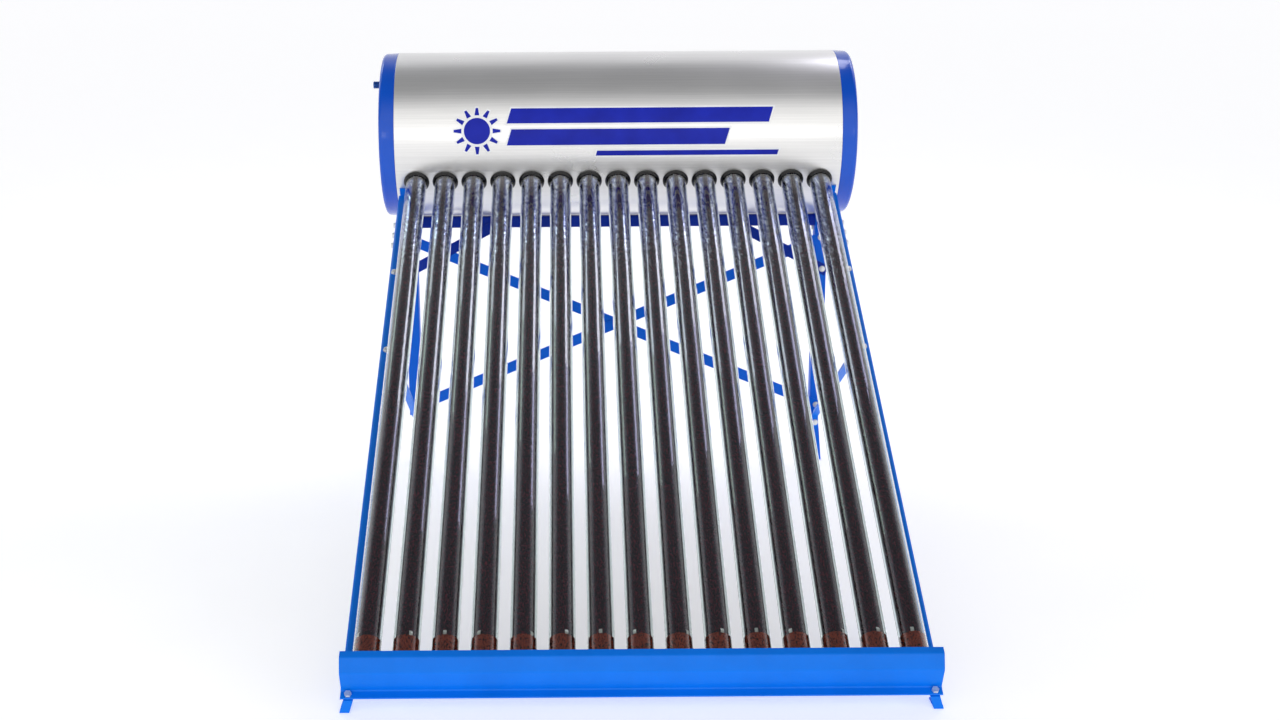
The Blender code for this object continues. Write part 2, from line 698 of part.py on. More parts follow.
def front_foot(side, name, parent, material):
    """A strap from under the lip down to a pad on the ground, leaning out a little."""
    tab_s = LIP_SLOPE + LIP_WIDTH
    low = TAB_RISE - FOOT_STEEL
    back = sloped(tab_s - 0.026, low)
    bend = sloped(tab_s, low)
    foot_x = side * (LIP_BOLT_X + FRONT_FOOT_SPLAY)
    across = Vector((1, 0, 0))
    tab_face = Vector((0, math.sin(SLOPE), -math.cos(SLOPE)))
    strap_face = Vector((0, 1, 0))
    pad_face = Vector((0, 0, 1))
    stations = [
        (Vector((side * LIP_BOLT_X, *back)), tab_face, across, FOOT_STEEL),
        (
            Vector((side * LIP_BOLT_X, *bend)),
            (tab_face + strap_face) / (1 + tab_face.dot(strap_face)), across, FOOT_STEEL,
        ),
        (
            Vector((foot_x, bend[0], FOOT_STEEL)),
            strap_face + pad_face, across, FOOT_STEEL,
        ),
        (Vector((foot_x, bend[0] + PAD_LENGTH, FOOT_STEEL)), pad_face, across, FOOT_STEEL),
    ]
    return place(name, strap(stations, FRONT_FOOT_WIDTH, FOOT_STEEL), parent, material)


def rear_foot(side, name, parent, material):
    """An angle that carries the leg on to the ground, splayed outwards, with a pad turned back at its foot."""
    front = LEG_FRONT + STEEL + GAP
    half = REAR_FOOT_WIDTH / 2
    section = [
        (-half, front),
        (half, front),
        (half, front + REAR_FOOT_FLANGE),
        (half - FOOT_STEEL, front + REAR_FOOT_FLANGE),
        (half - FOOT_STEEL, front + FOOT_STEEL),
        (-half, front + FOOT_STEEL),
    ]
    rings = []
    for height, middle in ((0, REAR_FOOT_TOP_X + REAR_FOOT_SPLAY), (REAR_FOOT_HEIGHT, REAR_FOOT_TOP_X)):
        rings.append([(side * (middle + a), y, height) for a, y in section])
    foot = place(name, lofted(rings), parent, material)
    centre = REAR_FOOT_TOP_X + REAR_FOOT_SPLAY - 0.0010
    near, far = sorted((side * (centre - half + 0.0002), side * (centre + half - 0.0002)))
    pad = box((near, front + 0.001, 0), (far, front + PAD_LENGTH, FOOT_STEEL))
    combine(foot, place(f"{name}_pad", pad, parent, material), "UNION")
    return foot


def lip_bolt(side, name, parent, material, passes):
    """A hexagon bolt with its nut, through the lip, the tray, the rail and the foot's tab."""
    place_on = (side * LIP_BOLT_X, -(LIP_SLOPE + LIP_WIDTH * 0.55), 0)
    head_low = -TROUGH_DROP + GAP
    nut_high = TAB_RISE - FOOT_STEEL - GAP
    nut_low = nut_high - 0.0065
    corner = BOLT_HEAD / math.cos(math.radians(30))
    head = spun(disc_outline(corner, head_low, head_low + BOLT_HEAD_HEIGHT), 6, closed=False, half_step=False)
    bolt = place(name, head, parent, material, place_on)
    nut = spun(disc_outline(corner, nut_low, nut_high), 6, closed=False, half_step=False)
    combine(bolt, place(f"{name}_nut", nut, parent, material, place_on), "UNION")
    shank = spun(disc_outline(BOLT_RADIUS, nut_low - 0.003, head_low + 0.003), PIPE_SIDES, closed=False)
    combine(bolt, place(f"{name}_shank", shank, parent, material, place_on), "UNION")
    for piece in passes:
        hole = spun(disc_outline(BOLT_RADIUS + BOLT_CLEARANCE, -0.08, 0), PIPE_SIDES, closed=False)
        combine(piece, place(f"{piece.name}_{name}", hole, parent, material, place_on), "DIFFERENCE")
    return bolt


def empty(name, location, turn_x=0.0, parent=None):
    obj = bpy.data.objects.new(name, None)
    bpy.context.scene.collection.objects.link(obj)
    obj.location = location
    obj.rotation_euler = (turn_x, 0, 0)
    obj.parent = parent
    return obj


def build():
    for obj in list(bpy.data.objects):
        bpy.data.objects.remove(obj)

    silver = paint("satin_silver_sheet", (0.62, 0.62, 0.61), 0.32, 0.9)
    blue = paint("blue_enamel", (0.0, 0.215, 0.87), 0.28)
    cap_blue = paint("cap_blue", (0.0, 0.09, 0.66), 0.22)
    glass = paint("tube_glass", (0.035, 0.012, 0.02), 0.06)
    rubber = paint("black_rubber", (0.012, 0.012, 0.012), 0.6)
    plastic = paint("black_plastic", (0.02, 0.02, 0.02), 0.5)
    stainless = paint("stainless", (0.55, 0.55, 0.54), 0.35, 1.0)
    foam = paint("foam", (0.78, 0.62, 0.30), 0.9)
    pipe_metal = paint("pipe_metal", (0.03, 0.05, 0.12), 0.4, 0.6)
    zinc = paint("zinc_plate", (0.72, 0.72, 0.70), 0.35, 1.0)

    stand = empty("stand_origin", (TANK_X, TANK_Y, 0))
    collector = empty("collector_origin", (0, 0, AXIS_HEIGHT), SLOPE, stand)
    tank = empty("tank_origin", (0, 0, AXIS_HEIGHT), 0.0, stand)

    shell = outer_shell(collector, silver)
    left_cap = end_cap("left_end_cap", -1, collector, cap_blue)
    end_cap("right_end_cap", 1, collector, cap_blue)
    drum = water_tank(collector, stainless)
    jacket = insulation(collector, foam)
    for piece in (shell, jacket, drum):
        cut_tube_holes(piece, collector, silver)
    reach_x = SHELL_HALF + CAP_WIDTH + PIPE_REACH
    pipe_stub(
        "hot_outlet", (-WATER_TANK_HALF + 0.030, 0, OUTLET_RISE), (-reach_x, 0, OUTLET_RISE),
        tank, pipe_metal, (left_cap, jacket, drum),
    )
    for name, x, rise, reach in (
        ("cold_inlet", INLET_IN - TUBE_X[-1], -INLET_DROP, INLET_REACH),
        ("air_vent", TUBE_X[-1] - VENT_IN, VENT_RISE, VENT_REACH),
    ):
        start = math.sqrt(WATER_TANK_RADIUS**2 - rise**2) - 0.015
        pipe_stub(name, (x, start, rise), (x, reach, rise), tank, pipe_metal, (shell, jacket, drum))

    for i, x in enumerate(TUBE_X):
        glass_tube(x, f"tube_{i + 1:02}", collector, glass)
        dust_ring(x, f"dust_ring_{i + 1:02}", collector, rubber)
    tube_cups(collector, plastic)

    cover = trough_cover(collector, blue)
    tray = trough_tray(collector, blue)
    cross_rail(stand, blue)
    cross_brace("cross_brace_front", 1, True, stand, blue)
    cross_brace("cross_brace_rear", -1, False, stand, blue)
    for side, label in ((-1, "left"), (1, "right")):
        rail = side_rail(side, f"{label}_side_rail", collector, blue)
        tank_saddle(side, f"{label}_tank_saddle", collector, stand, blue)
        rear_leg(side, f"{label}_rear_leg", stand, blue)
        rear_foot(side, f"{label}_rear_foot", stand, blue)
        knee_brace(side, f"{label}_knee_brace", stand, blue)
        side_strut(side, f"{label}_side_strut", stand, blue)
        foot = front_foot(side, f"{label}_front_foot", stand, blue)
        lip_bolt(side, f"{label}_lip_bolt", collector, zinc, (cover, tray, rail, foot))


build()
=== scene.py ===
"""A thermosiphon solar water heater: fifteen evacuated glass tubes slope down from an insulated tank
to a folded trough, on a bolted stand of blue powder-coated sheet steel. Everything is in metres."""
import json
import math

import bmesh
import bpy
from mathutils import Matrix, Vector


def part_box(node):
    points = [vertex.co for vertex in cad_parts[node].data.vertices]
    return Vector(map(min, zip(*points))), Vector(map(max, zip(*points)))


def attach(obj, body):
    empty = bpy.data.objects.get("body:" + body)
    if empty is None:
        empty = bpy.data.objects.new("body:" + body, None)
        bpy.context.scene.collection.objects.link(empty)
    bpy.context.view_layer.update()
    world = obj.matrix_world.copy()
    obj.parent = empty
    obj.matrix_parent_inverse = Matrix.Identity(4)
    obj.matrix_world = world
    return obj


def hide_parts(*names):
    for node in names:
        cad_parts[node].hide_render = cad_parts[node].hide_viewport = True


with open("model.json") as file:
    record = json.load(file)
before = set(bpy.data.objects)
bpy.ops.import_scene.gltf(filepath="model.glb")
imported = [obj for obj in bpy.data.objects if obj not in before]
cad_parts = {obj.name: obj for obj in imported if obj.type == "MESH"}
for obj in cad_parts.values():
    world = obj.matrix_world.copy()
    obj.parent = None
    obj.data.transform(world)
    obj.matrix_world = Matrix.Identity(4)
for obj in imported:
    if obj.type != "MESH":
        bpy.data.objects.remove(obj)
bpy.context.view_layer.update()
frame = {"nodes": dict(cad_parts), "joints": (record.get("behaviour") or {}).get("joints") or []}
nodes = frame["nodes"]

# ---- Stand: powder-coated sheet steel ----
# The rails, legs, braces, feet, trough and tank saddles are cold-rolled sheet, folded and punched, then
# powder coated in one sky blue. The rear legs, rear feet and crossed braces are drawn in a deeper blue, and
# the cross rail and knee braces in navy: this is painted shade, the same paint drawn darker where it lies in
# shadow behind the tank. The coat pulls tight over the sheet in a fine orange peel, with soft clouds of site
# dust.


def colour(hex_code):
    """An sRGB hex colour as linear RGBA."""
    values = [int(hex_code[i:i + 2], 16) / 255 for i in (1, 3, 5)]
    linear = [v / 12.92 if v <= 0.04045 else ((v + 0.055) / 1.055) ** 2.4 for v in values]
    return (*linear, 1.0)


def add(tree, kind, inputs=None, stops=(), **settings):
    """Adds a node. An input is given a value or another node's output, and a ramp its (place, hex) stops."""
    new = tree.nodes.new(kind)
    for key, value in settings.items():
        setattr(new, key, value)
    for key, value in (inputs or {}).items():
        if isinstance(value, bpy.types.NodeSocket):
            tree.links.new(value, new.inputs[key])
        else:
            new.inputs[key].default_value = value
    for _ in stops[2:]:
        new.color_ramp.elements.new(0.5)
    for stop, (position, hex_code) in enumerate(stops):
        new.color_ramp.elements[stop].position = position
        new.color_ramp.elements[stop].color = colour(hex_code)
    return new


def material(name):
    """A new material with its tree, its shader and the object's own coordinates."""
    new = bpy.data.materials.new(name)
    new.use_nodes = True
    tree = new.node_tree
    return new, tree, tree.nodes["Principled BSDF"], add(tree, "ShaderNodeTexCoord").outputs["Object"]


def wire(tree, shader, **sockets):
    """Links outputs to the shader's sockets; an underscore stands for a space in a socket's name."""
    for key, source in sockets.items():
        tree.links.new(source, shader.inputs[key.replace("_", " ")])


def powder_coat(name, light, dark, roughness):
    coat, tree, shader, place = material(name)
    # clouds of dust about 120 mm across
    cloud = add(tree, "ShaderNodeTexNoise", {"Vector": place, "Scale": 8.0, "Detail": 5.0, "Roughness": 0.6})
    # faint handling scuffs, about 10 mm across
    scuff = add(tree, "ShaderNodeTexNoise", {"Vector": place, "Scale": 100.0, "Detail": 3.0})
    blend = add(tree, "ShaderNodeMix", {"Factor": 0.12, "A": cloud.outputs["Fac"], "B": scuff.outputs["Fac"]})
    tint = add(
        tree, "ShaderNodeValToRGB", {"Fac": blend.outputs["Result"]},
        stops=[(0.30, dark), (0.62, light)],
    )
    gloss = add(
        tree, "ShaderNodeMapRange",
        {
            "Value": scuff.outputs["Fac"], "From Min": 0.35, "From Max": 0.7,
            "To Min": roughness, "To Max": roughness + 0.16,
        },
    )
    # orange peel of about 2 mm, less than a tenth of a millimetre deep
    peel = add(tree, "ShaderNodeTexNoise", {"Vector": place, "Scale": 480.0, "Detail": 2.0})
    bump = add(tree, "ShaderNodeBump", {"Height": peel.outputs["Fac"], "Strength": 0.08, "Distance": 0.0008})
    wire(tree, shader, Base_Color=tint.outputs[0], Roughness=gloss.outputs[0], Normal=bump.outputs[0])
    shader.inputs["IOR"].default_value = 1.33
    shader.inputs["Specular IOR Level"].default_value = 0.3
    shader.inputs["Coat Weight"].default_value = 0.08
    shader.inputs["Coat Roughness"].default_value = 0.12
    return coat


blue_coat = powder_coat("sky_blue_powder_coat", "#0078EC", "#0072E2", 0.34)
# painted shade: the same sky-blue paint drawn in a deeper blue and in navy for the members that stand in
# shade
part_shade_blue_coat = powder_coat("mid_blue_painted_shade_coat", "#0068E4", "#0060D6", 0.40)
shade_navy_coat = powder_coat("navy_painted_shade_coat", "#002EA0", "#002990", 0.46)
for side in ("left", "right"):
    for part in ("side_rail", "tank_saddle", "side_strut", "front_foot"):
        nodes[f"{side}_{part}"].data.materials[0] = blue_coat
    for part in ("rear_leg", "rear_foot"):
        nodes[f"{side}_{part}"].data.materials[0] = part_shade_blue_coat
    nodes[f"{side}_knee_brace"].data.materials[0] = shade_navy_coat
nodes["trough_tray"].data.materials[0] = blue_coat
nodes["cross_rail"].data.materials[0] = shade_navy_coat
for part in ("cross_brace_front", "cross_brace_rear"):
    nodes[part].data.materials[0] = part_shade_blue_coat

# ---- Tank shell: satin pre-coated steel sheet ----
# A sheet of brushed, clear-lacquered steel is rolled round the foam and locked in a folded seam at the
# back. Rolling leaves faint lines along X, and the lacquer keeps the reflections soft.
satin_steel, tree, shader, place = material("lacquered_satin_steel")
# brushing lines about 0.6 mm apart, drawn at 2 mm so that they show, and 300 mm long
brush_place = add(tree, "ShaderNodeMapping", {"Vector": place, "Scale": (3.0, 480.0, 480.0)})
brush = add(tree, "ShaderNodeTexNoise", {"Vector": brush_place.outputs[0], "Scale": 1.0, "Detail": 4.0})
haze = add(tree, "ShaderNodeTexNoise", {"Vector": place, "Scale": 5.0, "Detail": 4.0})
tint = add(
    tree, "ShaderNodeValToRGB", {"Fac": brush.outputs["Fac"]},
    stops=[(0.3, "#E4E3E1"), (0.7, "#EFEEEC")],
)
gloss = add(
    tree, "ShaderNodeMapRange",
    {"Value": haze.outputs["Fac"], "From Min": 0.3, "From Max": 0.7, "To Min": 0.27, "To Max": 0.34},
)
bump = add(tree, "ShaderNodeBump", {"Height": brush.outputs["Fac"], "Strength": 0.05, "Distance": 0.0003})
wire(tree, shader, Base_Color=tint.outputs[0], Roughness=gloss.outputs[0], Normal=bump.outputs[0])
shader.inputs["Metallic"].default_value = 0.75
shader.inputs["Coat Weight"].default_value = 0.2
shader.inputs["Coat Roughness"].default_value = 0.2

# the tank lies along X
low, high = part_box("outer_shell")
tank_centre = (low + high) / 2
tank_radius = 0.2326
shell_half = (high.x - low.x) / 2
tank_place = Matrix.Translation(tank_centre)
along_tank = Matrix.Rotation(math.radians(90), 4, "Y")
# the tubes leave it down the slope that their slides run along: down the slope is -Y of the collector's
# frame, and off the tubes' plane, towards the sun, is +Z
up_slope = Vector(frame["joints"][0]["axis"])
slope = math.atan2(up_slope.z, up_slope.y)
collector = tank_place @ Matrix.Rotation(slope, 4, "X")
along_slope = Matrix.Rotation(math.radians(-90), 4, "X")
tube_boxes = [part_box(f"tube_{i + 1:02}") for i in range(15)]
tube_offsets = [(a.x + b.x) / 2 - tank_centre.x for a, b in tube_boxes]
tube_radius = 0.029


def turned(outline, sides, loop=False):
    """Spins (radius, height) points about Z into a surface; a loop joins its last point to its first."""
    bm = bmesh.new()
    points = [bm.verts.new((radius, 0, height)) for radius, height in outline]
    pairs = list(zip(points, points[1:])) + ([(points[-1], points[0])] if loop else [])
    edges = [bm.edges.new(pair) for pair in pairs]
    bmesh.ops.spin(
        bm, geom=points + edges, axis=(0, 0, 1), cent=(0, 0, 0), dvec=(0, 0, 0),
        angle=2 * math.pi, steps=sides, use_merge=True, use_duplicate=False,
    )
    bmesh.ops.remove_doubles(bm, verts=bm.verts, dist=1e-6)
    bmesh.ops.recalc_face_normals(bm, faces=bm.faces)
    return bm


def arc(centre, radius, start, end, steps):
    """Points of an outline along part of a circle, in degrees from the radius towards the height."""
    angles = [math.radians(start + (end - start) * i / steps) for i in range(steps + 1)]
    return [(centre[0] + radius * math.cos(a), centre[1] + radius * math.sin(a)) for a in angles]


def piece(name, bm, place, finish, body, stands_for=(), sharp=35):
    """Makes an object from a bmesh, with its place in its mesh, riding on a body."""
    bm.transform(place)
    mesh = bpy.data.meshes.new(name)
    bm.to_mesh(mesh)
    bm.free()
    mesh.materials.append(finish)
    mesh.shade_smooth()
    mesh.set_sharp_from_angle(angle=math.radians(sharp))
    obj = bpy.data.objects.new(name, mesh)
    bpy.context.scene.collection.objects.link(obj)
    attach(obj, body)
    if stands_for:
        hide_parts(*stands_for)
    return obj


def cut_away(obj, cutter_bm):
    """Takes a bmesh out of an object for good."""
    mesh = bpy.data.meshes.new("cutter")
    cutter_bm.to_mesh(mesh)
    cutter_bm.free()
    cutter = bpy.data.objects.new("cutter", mesh)
    bpy.context.scene.collection.objects.link(cutter)
    modifier = obj.modifiers.new("cut", "BOOLEAN")
    modifier.operation = "DIFFERENCE"
    modifier.solver = "EXACT"
    modifier.object = cutter
    graph = bpy.context.evaluated_depsgraph_get()
    cut = bpy.data.meshes.new_from_object(obj.evaluated_get(graph))
    obj.modifiers.clear()
    old = obj.data
    obj.data = cut
    bpy.data.meshes.remove(old)
    bpy.data.objects.remove(cutter)
    cut.set_sharp_from_angle(angle=math.radians(35))


sheet = 0.001
edge_round = 0.0006
rolled_edge = arc((tank_radius - edge_round, shell_half - edge_round), edge_round, 0, 90, 3)
outline = [(r, -z) for r, z in rolled_edge[::-1]] + rolled_edge
outline += [(tank_radius - sheet, shell_half), (tank_radius - sheet, -shell_half)]
shell = piece(
    "tank_shell", turned(outline, 192, loop=True), tank_place @ along_tank, satin_steel, "heater",
    ["outer_shell"],
)
holes = bmesh.new()
tube_hole = tube_radius + 0.002
pipe_hole = 0.0115
for x in tube_offsets:
    bmesh.ops.create_cone(
        holes, cap_ends=True, segments=40, radius1=tube_hole, radius2=tube_hole, depth=0.08,
        matrix=collector @ Matrix.Translation((x, -tank_radius, 0)) @ along_slope,
    )
for name in ("cold_inlet", "air_vent"):
    low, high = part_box(name)
    bmesh.ops.create_cone(
        holes, cap_ends=True, segments=32, radius1=pipe_hole, radius2=pipe_hole, depth=0.2,
        matrix=Matrix.Translation((low + high) / 2) @ along_slope,
    )
cut_away(shell, holes)

# The lock seam: a flat fold 9 mm wide that runs the length of the shell, low on its back.
seam_size = (2 * shell_half - 0.004, 0.0014, 0.009)
seam = bmesh.new()
bmesh.ops.create_cube(seam, size=1.0)
bmesh.ops.transform(seam, matrix=Matrix.Diagonal((*seam_size, 1)), verts=seam.verts)
bmesh.ops.bevel(
    seam, geom=seam.edges, offset=0.0005, offset_type="OFFSET", segments=2, profile=0.5,
    affect="EDGES", material=-1,
)
seam_turn = Matrix.Rotation(math.radians(-40), 4, "X")
seam_place = tank_place @ seam_turn @ Matrix.Translation((0, tank_radius - 0.0002, 0))
piece("shell_lock_seam", seam, seam_place, satin_steel, "heater")

# ---- End caps: blue pressed covers ----
# Each cap is pressed from thin sheet, flush with the shell, with a rounded corner and a lip that plugs
# into the shell's end. It is sprayed in a deeper, glossier blue than the stand.
cap_paint, tree, shader, place = material("royal_blue_gloss_enamel")
cloud = add(tree, "ShaderNodeTexNoise", {"Vector": place, "Scale": 6.0, "Detail": 4.0})
tint = add(
    tree, "ShaderNodeValToRGB", {"Fac": cloud.outputs["Fac"]},
    stops=[(0.3, "#004CC0"), (0.7, "#0056CE")],
)
# dust nibs of about 3 mm in the sprayed coat
nib = add(tree, "ShaderNodeTexNoise", {"Vector": place, "Scale": 330.0, "Detail": 2.0})
bump = add(tree, "ShaderNodeBump", {"Height": nib.outputs["Fac"], "Strength": 0.05, "Distance": 0.0006})
gloss = add(
    tree, "ShaderNodeMapRange",
    {"Value": cloud.outputs["Fac"], "From Min": 0.3, "From Max": 0.7, "To Min": 0.16, "To Max": 0.24},
)
wire(tree, shader, Base_Color=tint.outputs[0], Roughness=gloss.outputs[0], Normal=bump.outputs[0])
shader.inputs["IOR"].default_value = 1.35
shader.inputs["Coat Weight"].default_value = 0.3
shader.inputs["Coat Roughness"].default_value = 0.05

cap_width = 0.044
corner = 0.012
rim = tank_radius - 0.002
lip = tank_radius - sheet - 0.0003
cap_face = cap_width - 0.0003
groove = cap_width - 0.0018
outline = [(0, cap_face), (0.205, cap_face), (0.208, groove), (0.211, groove), (0.2135, cap_face)]
outline += arc((rim - corner, cap_width - corner), corner - 0.0003, 90, 4, 8)
outline += [(tank_radius - 0.0006, 0.0022), (tank_radius - 0.0002, 0.0012), (tank_radius - 0.0008, 0.0004)]
outline += [(lip, 0.0003), (lip, -0.015), (lip - 0.0012, -0.015), (lip - 0.0012, 0.002)]
outline += [(rim - 0.0030, cap_width - corner), (rim - corner, cap_width - 0.0024), (0, cap_width - 0.0024)]
caps = {}
for side, label in ((-1, "left"), (1, "right")):
    turn = Matrix.Rotation(math.radians(90 * side), 4, "Y")
    cap_place = tank_place @ Matrix.Translation((side * shell_half, 0, 0)) @ turn
    caps[label] = piece(
        f"{label}_cap", turned(outline, 192), cap_place, cap_paint, "heater",
        [f"{label}_end_cap"],
    )
low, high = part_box("hot_outlet")
outlet_hole = 0.0112
hole = bmesh.new()
bmesh.ops.create_cone(
    hole, cap_ends=True, segments=32, radius1=outlet_hole, radius2=outlet_hole, depth=0.3,
    matrix=Matrix.Translation((low + high) / 2) @ along_tank,
)
cut_away(caps["left"], hole)

# ---- Pipe stubs: threaded nipples ----
# Half-inch steel nipples, welded to the water tank. They are dipped in the same blue as the caps, in
# blotches of lighter and darker tone. The threads are drawn 3 mm apart, coarser than real, so that they show.
pipe_paint, tree, shader, place = material("dark_blue_dipped_steel")
blotch = add(tree, "ShaderNodeTexNoise", {"Vector": place, "Scale": 140.0, "Detail": 4.0})
tint = add(
    tree, "ShaderNodeValToRGB", {"Fac": blotch.outputs["Fac"]},
    stops=[(0.35, "#0A3A7C"), (0.65, "#1E62B4")],
)
gloss = add(
    tree, "ShaderNodeMapRange",
    {"Value": blotch.outputs["Fac"], "From Min": 0.3, "From Max": 0.7, "To Min": 0.28, "To Max": 0.5},
)
bump = add(tree, "ShaderNodeBump", {"Height": blotch.outputs["Fac"], "Strength": 0.15, "Distance": 0.0005})
wire(tree, shader, Base_Color=tint.outputs[0], Roughness=gloss.outputs[0], Normal=bump.outputs[0])
shader.inputs["Metallic"].default_value = 0.35

pipe_radius = 0.0104
pipe_bore = 0.0081
thread = 0.003
thread_depth = 0.0012
for name, axis in (("hot_outlet", (-1, 0, 0)), ("cold_inlet", (0, 1, 0)), ("air_vent", (0, 1, 0))):
    axis = Vector(axis)
    low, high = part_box(name)
    length = abs((high - low).dot(axis))
    outline = [(pipe_bore, 0), (pipe_radius, 0), (pipe_radius, length - 0.034)]
    for i in range(10):
        start = length - 0.033 + i * thread
        outline += [(pipe_radius - thread_depth, start), (pipe_radius - thread_depth, start + 0.0006)]
        outline += [(pipe_radius, start + 0.0014), (pipe_radius, start + 0.0022)]
    outline += [(pipe_radius - 0.001, length), (pipe_bore + 0.0006, length), (pipe_bore, length - 0.0008)]
    middle = (low + high) / 2
    turn = axis.to_track_quat("Z", "Y").to_matrix().to_4x4()
    start = Matrix.Translation(middle - axis * length / 2) @ turn
    piece(f"{name}_nipple", turned(outline, 40, loop=True), start, pipe_paint, "heater", [name])

# ---- Water tank, foam and cup strip: hidden inside ----
# The water tank is brushed stainless, the foam is poured polyurethane, and the cups under the tubes are
# moulded black polypropylene.
stainless, tree, shader, place = material("brushed_stainless")
brush_place = add(tree, "ShaderNodeMapping", {"Vector": place, "Scale": (4.0, 300.0, 300.0)})
brush = add(tree, "ShaderNodeTexNoise", {"Vector": brush_place.outputs[0], "Scale": 1.0, "Detail": 3.0})
tint = add(
    tree, "ShaderNodeValToRGB", {"Fac": brush.outputs["Fac"]},
    stops=[(0.3, "#B2B1AE"), (0.7, "#C6C5C2")],
)
wire(tree, shader, Base_Color=tint.outputs[0])
shader.inputs["Metallic"].default_value = 1.0
shader.inputs["Roughness"].default_value = 0.33
nodes["water_tank"].data.materials[0] = stainless

foam, tree, shader, place = material("poured_polyurethane_foam")
cell = add(tree, "ShaderNodeTexVoronoi", {"Vector": place, "Scale": 400.0})
tint = add(
    tree, "ShaderNodeValToRGB", {"Fac": cell.outputs["Distance"]},
    stops=[(0.1, "#D9C384"), (0.7, "#EBDCA6")],
)
bump = add(tree, "ShaderNodeBump", {"Height": cell.outputs["Distance"], "Strength": 0.4, "Distance": 0.001})
wire(tree, shader, Base_Color=tint.outputs[0], Normal=bump.outputs[0])
shader.inputs["Roughness"].default_value = 0.9
nodes["insulation"].data.materials[0] = foam

cup_plastic, tree, shader, place = material("moulded_black_polypropylene")
grain = add(tree, "ShaderNodeTexNoise", {"Vector": place, "Scale": 900.0, "Detail": 3.0})
tint = add(
    tree, "ShaderNodeValToRGB", {"Fac": grain.outputs["Fac"]},
    stops=[(0.3, "#121212"), (0.7, "#1C1C1D")],
)
bump = add(tree, "ShaderNodeBump", {"Height": grain.outputs["Fac"], "Strength": 0.2, "Distance": 0.0004})
wire(tree, shader, Base_Color=tint.outputs[0], Normal=bump.outputs[0])
shader.inputs["Roughness"].default_value = 0.48
nodes["tube_cups"].data.materials[0] = cup_plastic

# ---- Glass tubes ----
# Each is two borosilicate tubes, one inside the other, fused at the top with a vacuum between them. The
# inner one carries a sputtered absorber, near black with a maroon cast. The foot is flashed with a getter
# mirror under a sprung metal clip, and ends in the drawn tip where the air was pumped out.
glass, tree, shader, place = material("borosilicate_glass")
draw_place = add(
    tree, "ShaderNodeMapping", {"Vector": place, "Rotation": (-slope, 0, 0), "Scale": (160.0, 1.5, 160.0)},
)
# drawing lines along the tube, about 6 mm apart
draw = add(tree, "ShaderNodeTexNoise", {"Vector": draw_place.outputs[0], "Scale": 1.0, "Detail": 2.0})
bump = add(tree, "ShaderNodeBump", {"Height": draw.outputs["Fac"], "Strength": 0.06, "Distance": 0.0006})
gloss = add(
    tree, "ShaderNodeMapRange",
    {"Value": draw.outputs["Fac"], "From Min": 0.3, "From Max": 0.7, "To Min": 0.0, "To Max": 0.03},
)
wire(tree, shader, Roughness=gloss.outputs[0], Normal=bump.outputs[0])
shader.inputs["Base Color"].default_value = colour("#EEF4F2")
shader.inputs["IOR"].default_value = 1.474
shader.inputs["Transmission Weight"].default_value = 1.0

absorber, tree, shader, place = material("sputtered_nitride_absorber")
streak_place = add(
    tree, "ShaderNodeMapping", {"Vector": place, "Rotation": (-slope, 0, 0), "Scale": (260.0, 2.0, 260.0)},
)
# sputtering leaves streaks along the tube, about 4 mm wide
streak = add(tree, "ShaderNodeTexNoise", {"Vector": streak_place.outputs[0], "Scale": 1.0, "Detail": 3.0})
dark_film = add(
    tree, "ShaderNodeValToRGB", {"Fac": streak.outputs["Fac"]},
    stops=[(0.30, "#120306"), (0.52, "#340912"), (0.72, "#581824")],
)
# the inner tube is drawn with long ripples, 12 mm apart, that break up what it mirrors
ripple_place = add(
    tree, "ShaderNodeMapping", {"Vector": place, "Rotation": (-slope, 0, 0), "Scale": (85.0, 14.0, 85.0)},
)
ripple = add(tree, "ShaderNodeTexNoise", {"Vector": ripple_place.outputs[0], "Scale": 1.0, "Detail": 2.0})
# near the tank a painted reflection, in silvery streaks about 7 mm wide, covers more and more of the film,
# and most of it by the ring
lay_place = add(tree, "ShaderNodeMapping", {"Vector": place, "Rotation": (-slope, 0, 0)})
lay = add(tree, "ShaderNodeSeparateXYZ", {"Vector": lay_place.outputs[0]}).outputs["Y"]
tank_lay = tank_centre.y * math.cos(slope) + tank_centre.z * math.sin(slope)
reflection_fade = add(
    tree, "ShaderNodeMapRange",
    {"Value": lay, "From Min": tank_lay - 0.80, "From Max": tank_lay - 0.26, "To Min": -0.25, "To Max": 0.75},
)
reflection_streak_place = add(
    tree, "ShaderNodeMapping", {"Vector": place, "Rotation": (-slope, 0, 0), "Scale": (150.0, 11.0, 150.0)},
)
reflection_streaks = add(
    tree, "ShaderNodeTexNoise",
    {"Vector": reflection_streak_place.outputs[0], "Scale": 1.0, "Detail": 4.0, "Distortion": 0.6},
)
reflection_sum = add(tree, "ShaderNodeMath", {0: reflection_streaks.outputs["Fac"], 1: reflection_fade.outputs[0]}, operation="ADD")
reflection_share = add(
    tree, "ShaderNodeMapRange",
    {"Value": reflection_sum.outputs[0], "From Min": 0.60, "From Max": 0.88, "To Min": 0.0, "To Max": 0.85},
)
